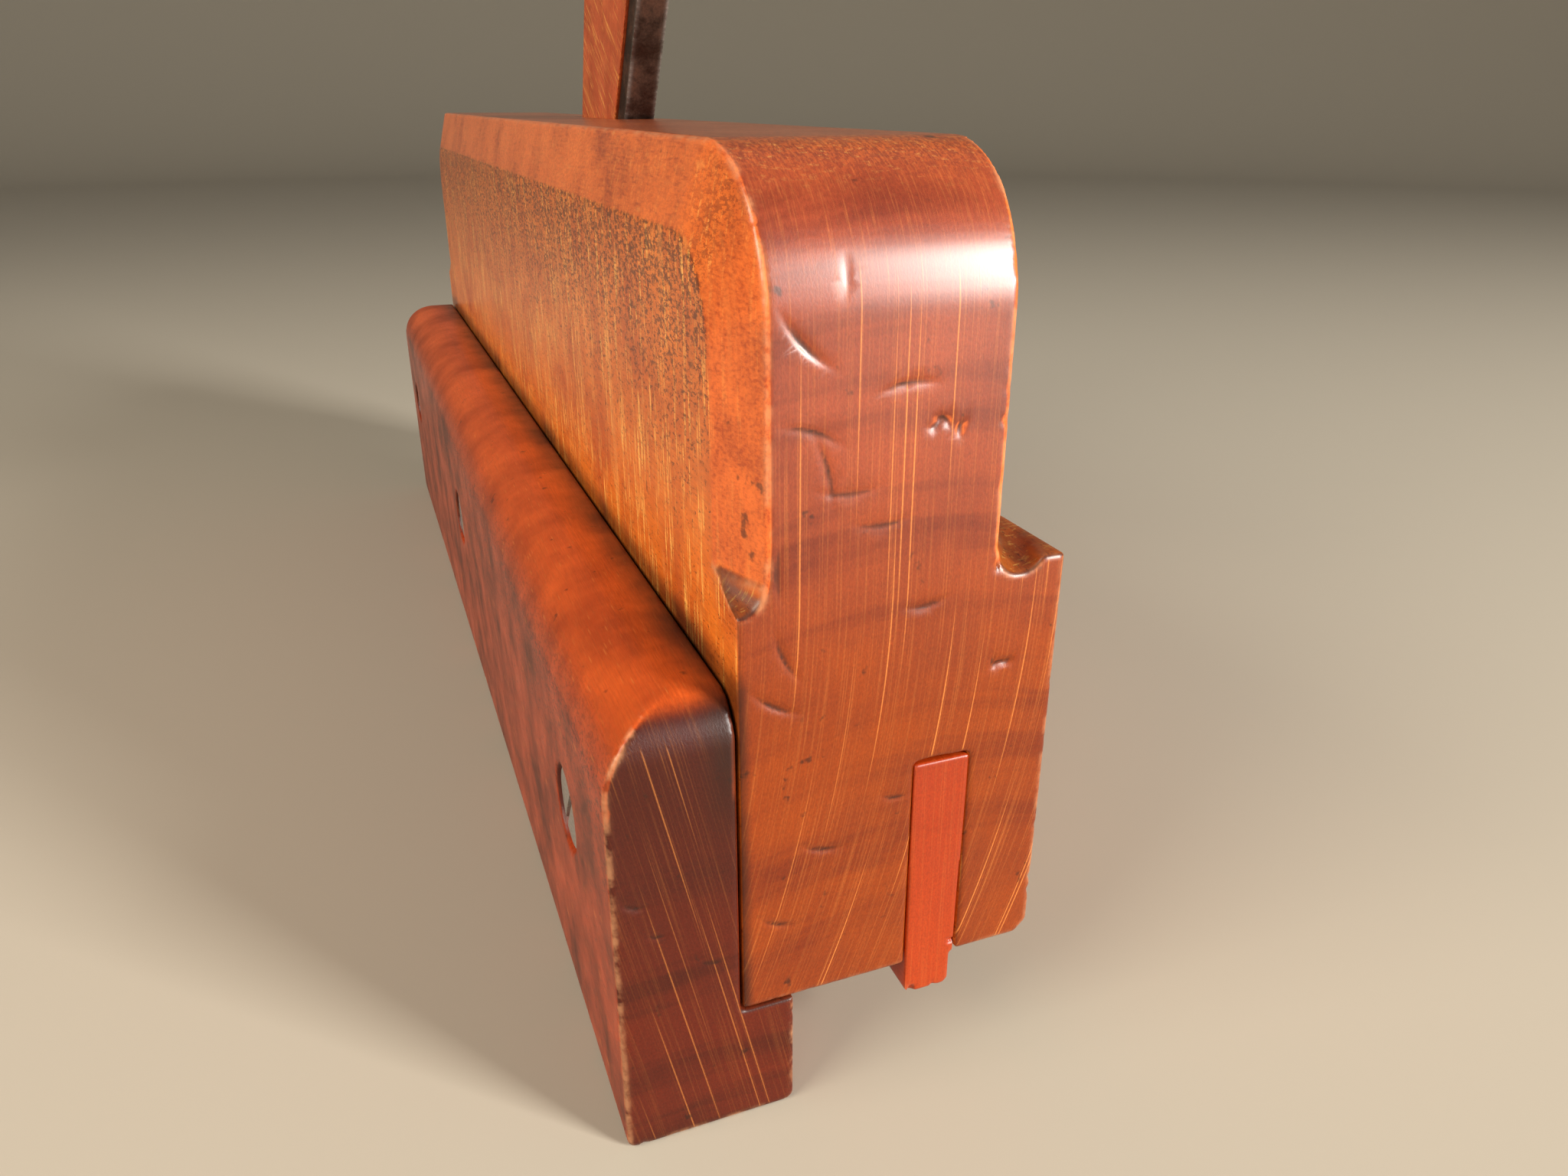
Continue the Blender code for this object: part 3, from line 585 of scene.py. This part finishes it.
# ---- pieces -----------------------------------------------------------------------
# Hammer marks on the heel: place of the rim's middle across and up, the way the rim
# faces in degrees, the hammer face's radius and the depth, all in millimetres.
HEEL_MARKS = (
    (-4.6, 84.3, 225, 9.0, 0.30), (5.6, 81.2, 96, 7.0, 0.26), (-1.5, 73.6, 15, 10.0, 0.16),
    (-3.2, 77.6, 70, 9.0, 0.14), (0.0, 70.7, 268, 8.0, 0.16), (3.5, 67.3, 272, 7.0, 0.14),
    (8.6, 58.4, 276, 5.0, 0.30), (-6.5, 55.6, 205, 8.0, 0.26), (-7.3, 50.5, 238, 8.0, 0.34),
    (-1.8, 32.8, 258, 7.0, 0.36), (-6.8, 24.7, 250, 5.0, 0.30), (6.0, 37.2, 262, 3.0, 0.22),
    (-7.2, 64.4, 180, 8.0, 0.16), (0.2, 91.6, 5, 8.0, 0.16), (11.2, 41.6, 85, 6.0, 0.28),
    (9.6, 77.6, 60, 1.6, 0.35), (10.6, 76.4, 160, 1.2, 0.40), (8.8, 76.2, 300, 1.1, 0.35),
    (17.4, 51.6, 100, 2.0, 0.30), (18.2, 50.6, 280, 1.4, 0.35), (16.2, 51.0, 200, 1.2, 0.30),
)
FENCE_MARKS = (
    (-21.8, 31.2, 250, 2.6, 0.35), (-19.6, 27.0, 260, 1.6, 0.25), (-14.0, 22.0, 262, 3.0, 0.15),
)


def near_heel_or_sole(edge):
    """Nicks gather on the edges of the ends and of the sole, where a plane gets knocked."""
    middle = (edge[0] + edge[1]) / 2
    at_end = middle.x > HEEL - 3 * MM or middle.x < TOE + 3 * MM
    return at_end or middle.z < SOLE + 1 * MM


class PLANE_OT_stock(bpy.types.Operator):
    """Beech stock with its throat, its chamfers and the hammer marks on its heel"""
    bl_idname = "grooving_plane.stock"
    bl_label = "Stock"

    def execute(self, context):
        colours = context.scene.plane_colours
        stock = merged_copy("stock_worn", "stock")
        worn(stock, ["stock"], context.scene.plane_wear, near_heel_or_sole, HEEL_MARKS,
             triangles=190000)
        look = wood("waxed_beech_planed", {
            "face": colours.beech_face, "face_dark": colours.beech_face_dark,
            "end": colours.beech, "end_dark": colours.beech_dark,
            "corner": colours.chamfer, "corner_share": 0.85, "ray": colours.ray,
            "grime_and_shade": colours.grime_and_shade, "level": 62.0, "bend": 0.0042, "slant": 0.0,
            "patina": (46.0, 84.0), "rays": 0.45, "hairs": 0.13, "rings": 0.36,
            # the paling near edges here is partly a painted highlight on the heel's arrises
            "specks": 0.7, "pale_edge": 0.55, "gloss": (0.34, 0.46), "wax": 1.0,
            "relief": 0.05,
            "ring": colours.beech_ring, "smoke": 0.42, "top": colours.beech_top,
            "top_share": 0.7, "specular": 0.15, "edge": colours.pale_edge,
            "corner_from": 62.5, "corner_dark": colours.chamfer_dark, "middle": 7.0,
            "haze": 0.29, "speckle": (62.0, 92.0), "flecks": 0.8, "fleck": colours.fleck,
            "dot": colours.beech_dot, "top_dark": colours.beech_ring,
            # painted shade in upward hollows 60 to 65.5 mm up, and painted shadow with a dark
            # patina on the left face above the fence
            "shade_and_dirt": ((60.0, 65.5), (-9.2, -10.4), (56.0, 52.8)),
        })
        dress(stock, look, "waxed_beech", BODY, "stock")
        return {"FINISHED"}


class PLANE_OT_fence(bpy.types.Operator):
    """Beech fence with its round top and its foot"""
    bl_idname = "grooving_plane.fence"
    bl_label = "Fence"

    def execute(self, context):
        colours = context.scene.plane_colours
        fence = merged_copy("fence_worn", "fence")
        worn(fence, ["fence"], context.scene.plane_wear, near_heel_or_sole, FENCE_MARKS,
             triangles=150000)
        look = wood("dark_waxed_beech_rounded", {
            "face": colours.fence_face, "face_dark": colours.fence,
            "end": colours.fence, "end_dark": colours.fence_dark,
            "corner": colours.fence_top, "corner_share": 0.3, "ray": colours.ray,
            "grime_and_shade": colours.grime_and_shade, "level": 60.0, "bend": 0.0, "slant": -0.22,
            "patina": (10.0, 48.0), "rays": 0.24, "hairs": 0.06, "rings": 0.6,
            "specks": 0.6, "pale_edge": 0.7, "gloss": (0.34, 0.48), "wax": 0.30,
            "relief": 0.05,
            "ring": colours.fence_dark, "smoke": 0.35, "top": colours.fence_top,
            "top_share": 0.95, "specular": 0.2, "edge": colours.pale_edge,
            "corner_from": 42.0, "corner_dark": colours.fence_face, "middle": -15.0,
            "speckle": (20.0, 60.0), "flecks": 0.15, "fleck": colours.fence_top,
            "dot": colours.fence_dark, "top_dark": colours.fence_band,
            # painted shade on upward faces 14 to 15 mm up, and painted shadow with a dark patina
            # on the fence's top beside the stock
            "shade_and_dirt": ((14.0, 15.0), (-15.5, -11.8), (34.0, 44.0)),
        })
        dress(fence, look, "dark_beech", BODY, "fence")
        return {"FINISHED"}


class PLANE_OT_slips(bpy.types.Operator):
    """Boxwood slips let into the sole at the heel and at the toe"""
    bl_idname = "grooving_plane.slips"
    bl_label = "Slips"

    def execute(self, context):
        colours = context.scene.plane_colours
        slips = merged_copy("slips_worn", "boxing_heel", "boxing_toe")
        middle = (SLIP_LOW.y + SLIP_HIGH.y) / 2
        fit = 1 + 0.5 * MM / (SLIP_HIGH.y - SLIP_LOW.y)
        for vertex in slips.data.vertices:
            if vertex.co.z > SOLE + 1 * MM:
                vertex.co.y = middle + (vertex.co.y - middle) * fit
        worn(slips, ["boxing_heel", "boxing_toe"], context.scene.plane_wear,
             near_heel_or_sole, cell=0.22 * MM, triangles=100000)
        look = wood("waxed_boxwood_planed", {
            "face": colours.boxwood, "face_dark": colours.boxwood_dark,
            "end": colours.boxwood, "end_dark": colours.boxwood_dark,
            "corner": colours.boxwood, "corner_share": 0.0, "ray": colours.ray,
            "grime_and_shade": colours.grime_and_shade, "level": 60.0, "bend": 0.0, "slant": 0.0,
            "patina": (8.0, 60.0), "rays": 0.06, "hairs": 0.08, "rings": 0.4,
            "specks": 0.15, "pale_edge": 0.1, "gloss": (0.34, 0.44), "wax": 0.4,
            "relief": 0.02,
            "ring": colours.boxwood_dark, "smoke": 0.4, "top": colours.boxwood,
            "top_share": 0.3, "specular": 0.3, "edge": colours.pale_edge,
            "corner_from": 99.0, "corner_dark": colours.boxwood, "middle": 11.0,
            "speckle": (90.0, 99.0), "flecks": 0.1, "fleck": colours.ray,
            "dot": colours.boxwood_dark, "top_dark": colours.boxwood_dark,
            "shade_and_dirt": ((90.0, 91.0), (60.0, 61.0), (90.0, 91.0)),
        })
        dress(slips, look, "boxwood", BODY, "boxing_heel", "boxing_toe")
        return {"FINISHED"}


class PLANE_OT_iron(bpy.types.Operator):
    """Forged iron with its long tang"""
    bl_idname = "grooving_plane.iron"
    bl_label = "Iron"

    def execute(self, context):
        colours = context.scene.plane_colours
        iron = merged_copy("iron_forged", "iron")
        worn(iron, ["iron"], context.scene.plane_wear, cell=0.25 * MM, triangles=60000)
        look = metal("forged_iron_oxidised", {
            "metal": colours.iron, "rust": colours.rust, "bright": colours.steel,
            "patch": 0.16, "rusted": 0.8, "gloss": (0.38, 0.62),
        })
        dress(iron, look, "forged_iron", "iron", "iron")
        return {"FINISHED"}


class PLANE_OT_wedge(bpy.types.Operator):
    """Beech wedge with a rounded head, driven in front of the iron"""
    bl_idname = "grooving_plane.wedge"
    bl_label = "Wedge"

    def execute(self, context):
        colours = context.scene.plane_colours
        wedge = merged_copy("wedge_worn", "wedge")
        worn(wedge, ["wedge"], context.scene.plane_wear, lambda edge: True, cell=0.30 * MM,
             triangles=90000)
        look = wood("waxed_beech_sawn_wedge", {
            "face": colours.wedge, "face_dark": colours.wedge_dark,
            "end": colours.wedge_dark, "end_dark": colours.wedge_dark,
            "corner": colours.wedge, "corner_share": 0.4, "ray": colours.ray,
            "grime_and_shade": colours.grime_and_shade, "level": 0.0, "bend": 0.0, "slant": 0.0,
            "patina": (100.0, 160.0), "rays": 0.3, "hairs": 0.3, "rings": 0.3,
            "specks": 0.3, "pale_edge": 0.35, "gloss": (0.36, 0.5), "wax": 0.30,
            "relief": 0.05, "turn": BED_SLOPE,
            "ring": colours.wedge_dark, "smoke": 0.4, "top": colours.wedge_dark,
            "top_share": 0.3, "specular": 0.3, "edge": colours.pale_edge,
            "corner_from": 999.0, "corner_dark": colours.wedge, "middle": 11.0,
            "speckle": (0.0, 500.0), "flecks": 0.35, "fleck": colours.fleck,
            "dot": colours.wedge_dark, "top_dark": colours.wedge_dark,
            "shade_and_dirt": ((990.0, 991.0), (60.0, 61.0), (990.0, 991.0)),
        })
        dress(wedge, look, "wedge_beech", "wedge", "wedge")
        return {"FINISHED"}


class PLANE_OT_screws(bpy.types.Operator):
    """Three slotted steel screws with flat heads, set in the fence's outer face"""
    bl_idname = "grooving_plane.screws"
    bl_label = "Fence screws"

    def execute(self, context):
        colours = context.scene.plane_colours
        nodes = ("fence_screw_heel", "fence_screw_middle", "fence_screw_toe")
        boxes = [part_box(node) for node in nodes]
        screw = one_screw(*boxes[0])
        look = metal("turned_steel_slotted", {
            "metal": colours.steel, "rust": colours.rust, "bright": colours.bright,
            "patch": 0.5, "rusted": 0.1, "gloss": (0.42, 0.58),
        })
        mesh = bpy.data.meshes.new("screw places")
        mesh.from_pydata([((low.x + high.x) / 2, low.y, (low.z + high.z) / 2)
                          for low, high in boxes], [], [])
        screws = link(bpy.data.objects.new("fence_screws", mesh))
        copies(screws, screw, look)
        bpy.data.objects.remove(screw)
        shade(screws)
        dress(screws, look, "screw_steel", BODY, *nodes)
        return {"FINISHED"}


def one_screw(low, high):
    """One countersunk screw about its own axis, its face at the origin, facing -Y."""
    head = (high.x - low.x) / 2 - 0.02 * MM
    length = high.y - low.y
    shank = head * 0.48
    rim = 0.25 * MM
    profile = [(0.0, 0.06 * MM), (head * 0.6, 0.09 * MM), (head - rim, 0.16 * MM),
               (head, 0.16 * MM + rim), (head, 0.55 * MM), (shank, head - shank + 0.5 * MM),
               (shank, length - 3 * MM), (0.3 * MM, length - 0.2 * MM), (0.0, length - 0.2 * MM)]
    shape = bmesh.new()
    ring = [shape.verts.new((radius, depth, 0.0)) for radius, depth in profile]
    for a, b in zip(ring, ring[1:]):
        shape.edges.new((a, b))
    bmesh.ops.spin(shape, geom=shape.verts[:] + shape.edges[:], cent=(0, 0, 0),
                   axis=(0, 1, 0), angle=math.tau, steps=64)
    bmesh.ops.remove_doubles(shape, verts=shape.verts, dist=1e-6)
    bmesh.ops.recalc_face_normals(shape, faces=shape.faces)
    mesh = bpy.data.meshes.new("screw")
    shape.to_mesh(mesh)
    shape.free()
    screw = link(bpy.data.objects.new("one_screw", mesh))
    slot = bmesh.new()
    bmesh.ops.create_cube(slot, size=1.0, matrix=Matrix.Diagonal(
        (head * 3, 2 * 1.1 * MM, 1.1 * MM, 1.0)))
    cutter_mesh = bpy.data.meshes.new("slot")
    slot.to_mesh(cutter_mesh)
    slot.free()
    cutter = link(bpy.data.objects.new("slot_cutter", cutter_mesh))
    cut(screw, cutter)
    modifier(screw, "BEVEL", width=0.08 * MM, segments=2, limit_method="ANGLE",
             angle_limit=math.radians(40))
    return bake(screw)


def copies(obj, part, look):
    """Set a copy of a part at each point of an object, each turned by its own angle."""
    tree = bpy.data.node_groups.new("copies at points", "GeometryNodeTree")
    sockets = {}
    for name, kind in (("Points", "Geometry"), ("Part", "Object"), ("Seed", "Int"),
                       ("Material", "Material")):
        sockets[name] = tree.interface.new_socket(
            name=name, in_out="INPUT", socket_type="NodeSocket" + kind).identifier
    tree.interface.new_socket(name="Copies", in_out="OUTPUT", socket_type="NodeSocketGeometry")
    given = add(tree, "NodeGroupInput").outputs
    source = add(tree, "GeometryNodeObjectInfo", Object=given["Part"])
    turn = add(tree, "FunctionNodeRandomValue", {"data_type": "FLOAT"}, Min=0.0, Max=math.pi,
               Seed=given["Seed"])
    about = add(tree, "ShaderNodeCombineXYZ", Y=turn)
    placed = add(tree, "GeometryNodeInstanceOnPoints",
                 Points=given["Points"], Instance=source.outputs["Geometry"], Rotation=about)
    real = add(tree, "GeometryNodeRealizeInstances", Geometry=placed)
    dressed = add(tree, "GeometryNodeSetMaterial", Geometry=real, Material=given["Material"])
    add(tree, "NodeGroupOutput", Copies=dressed)
    made = modifier(obj, "NODES", node_group=tree)
    made[sockets["Part"]] = part
    made[sockets["Seed"]] = 4
    made[sockets["Material"]] = look
    return bake(obj)


# ---- stage ------------------------------------------------------------------------
INNER_RADIUS = 1.0    # first ring of the floor, in metres
BEND_START = 1.6      # the floor is flat to here, then bends up into a wall
BEND_RADIUS = 0.7
WALL_TOP = 2.2
WINDOW_TINT = "#fdf8f2"
ROOM_TINT = "#fff3e4"
WORLD_STRENGTH = 0.25
SENSOR_WIDTH = 36.0   # millimetres


def area_light(name, toward, distance, size, power, tint):
    """A soft rectangular light that looks at the heel's top."""
    light = bpy.data.lights.new(name, "AREA")
    light.shape = "RECTANGLE"
    light.size, light.size_y = size
    light.energy = power
    light.color = linear(tint)
    obj = link(bpy.data.objects.new(name, light))
    aim = Vector((HEEL, 0.0, TOP - 20 * MM))
    obj.location = aim + Vector(toward).normalized() * distance
    obj.rotation_euler = (aim - obj.location).to_track_quat("-Z", "Y").to_euler()
    return obj


class PLANE_OT_stage(bpy.types.Operator):
    """Pale floor, soft window light and the camera behind the heel"""
    bl_idname = "grooving_plane.stage"
    bl_label = "Stage"

    def execute(self, context):
        scene = context.scene
        stage = scene.plane_stage
        shape = bmesh.new()
        turn = [math.radians(6 * i) for i in range(16)]
        profile = [(0.0, 0.0), (INNER_RADIUS, 0.0)]
        profile += [(BEND_START + BEND_RADIUS * math.sin(a), BEND_RADIUS * (1 - math.cos(a)))
                    for a in turn]
        ring = [shape.verts.new((radius, 0.0, height)) for radius, height in profile]
        ring.append(shape.verts.new((BEND_START + BEND_RADIUS, 0.0, WALL_TOP)))
        for a, b in zip(ring, ring[1:]):
            shape.edges.new((a, b))
        bmesh.ops.spin(shape, geom=shape.verts[:] + shape.edges[:], cent=(0, 0, 0),
                       axis=(0, 0, 1), angle=math.tau, steps=96)
        bmesh.ops.remove_doubles(shape, verts=shape.verts, dist=1e-5)
        bmesh.ops.recalc_face_normals(shape, faces=shape.faces)
        bmesh.ops.reverse_faces(shape, faces=shape.faces)
        for face in shape.faces:
            face.smooth = True
        mesh = bpy.data.meshes.new("floor")
        shape.to_mesh(mesh)
        shape.free()
        floor = link(bpy.data.objects.new("floor", mesh))
        material, tree = new_material("matte_paper")
        shader = add(tree, "ShaderNodeBsdfPrincipled",
                     Base_Color=solid(scene.plane_colours.floor), Roughness=0.9)
        add(tree, "ShaderNodeOutputMaterial", Surface=shader)
        mesh.materials.append(material)
        area_light("window", (0.72, 0.60, 0.28), 1.1, (0.26, 0.60), stage.window,
                   WINDOW_TINT)
        area_light("room", (0.20, -0.85, 0.50), 0.75, (0.5, 0.5), stage.room, ROOM_TINT)
        area_light("doorway", (0.78, -0.52, 0.30), 1.2, (0.25, 0.5), stage.doorway,
                   ROOM_TINT)
        world = bpy.data.worlds.new("pale room")
        scene.world = world
        world.use_nodes = True
        world.node_tree.nodes["Background"].inputs["Color"].default_value = (1, 1, 1, 1)
        world.node_tree.nodes["Background"].inputs["Strength"].default_value = WORLD_STRENGTH
        scene.view_settings.view_transform = "Standard"
        camera = bpy.data.cameras.new("camera")
        camera.lens = stage.lens
        camera.sensor_width = SENSOR_WIDTH
        camera.clip_start = 0.01
        eye = link(bpy.data.objects.new("camera", camera))
        eye.location = stage.camera
        level = math.cos(stage.tilt)
        forward = Vector((-math.cos(stage.turn) * level, math.sin(stage.turn) * level,
                          -math.sin(stage.tilt)))
        eye.rotation_euler = forward.to_track_quat("-Z", "Y").to_euler()
        scene.camera = eye
        return {"FINISHED"}


class PLANE_PT_panel(bpy.types.Panel):
    """Buttons that make each piece, and the sizes and colours they use"""
    bl_idname = "PLANE_PT_panel"
    bl_label = "Grooving Plane"
    bl_space_type = "VIEW_3D"
    bl_region_type = "UI"
    bl_category = "Grooving Plane"

    def draw(self, context):
        column = self.layout.column()
        for operator in OPERATORS:
            column.operator(operator.bl_idname)
        for group in (context.scene.plane_wear, context.scene.plane_colours,
                      context.scene.plane_stage):
            box = self.layout.box()
            for name in group.__annotations__:
                box.prop(group, name)


GROUPS = {"plane_wear": PlaneWear, "plane_colours": PlaneColours, "plane_stage": PlaneStage}
OPERATORS = (PLANE_OT_stock, PLANE_OT_fence, PLANE_OT_slips, PLANE_OT_iron, PLANE_OT_wedge,
             PLANE_OT_screws, PLANE_OT_stage)


def register():
    """Register every class and hang the settings on the scene."""
    for made in (*GROUPS.values(), *OPERATORS, PLANE_PT_panel):
        bpy.utils.register_class(made)
    for name, group in GROUPS.items():
        setattr(bpy.types.Scene, name, PointerProperty(type=group))


def unregister():
    """Take the settings and the classes away again."""
    for name in GROUPS:
        delattr(bpy.types.Scene, name)
    for made in (PLANE_PT_panel, *reversed(OPERATORS), *reversed(GROUPS.values())):
        bpy.utils.unregister_class(made)


def main():
    """Register the classes and make every piece in turn."""
    register()
    for operator in OPERATORS:
        group, name = operator.bl_idname.split(".")
        getattr(getattr(bpy.ops, group), name)()


if __name__ == "__main__":
    main()
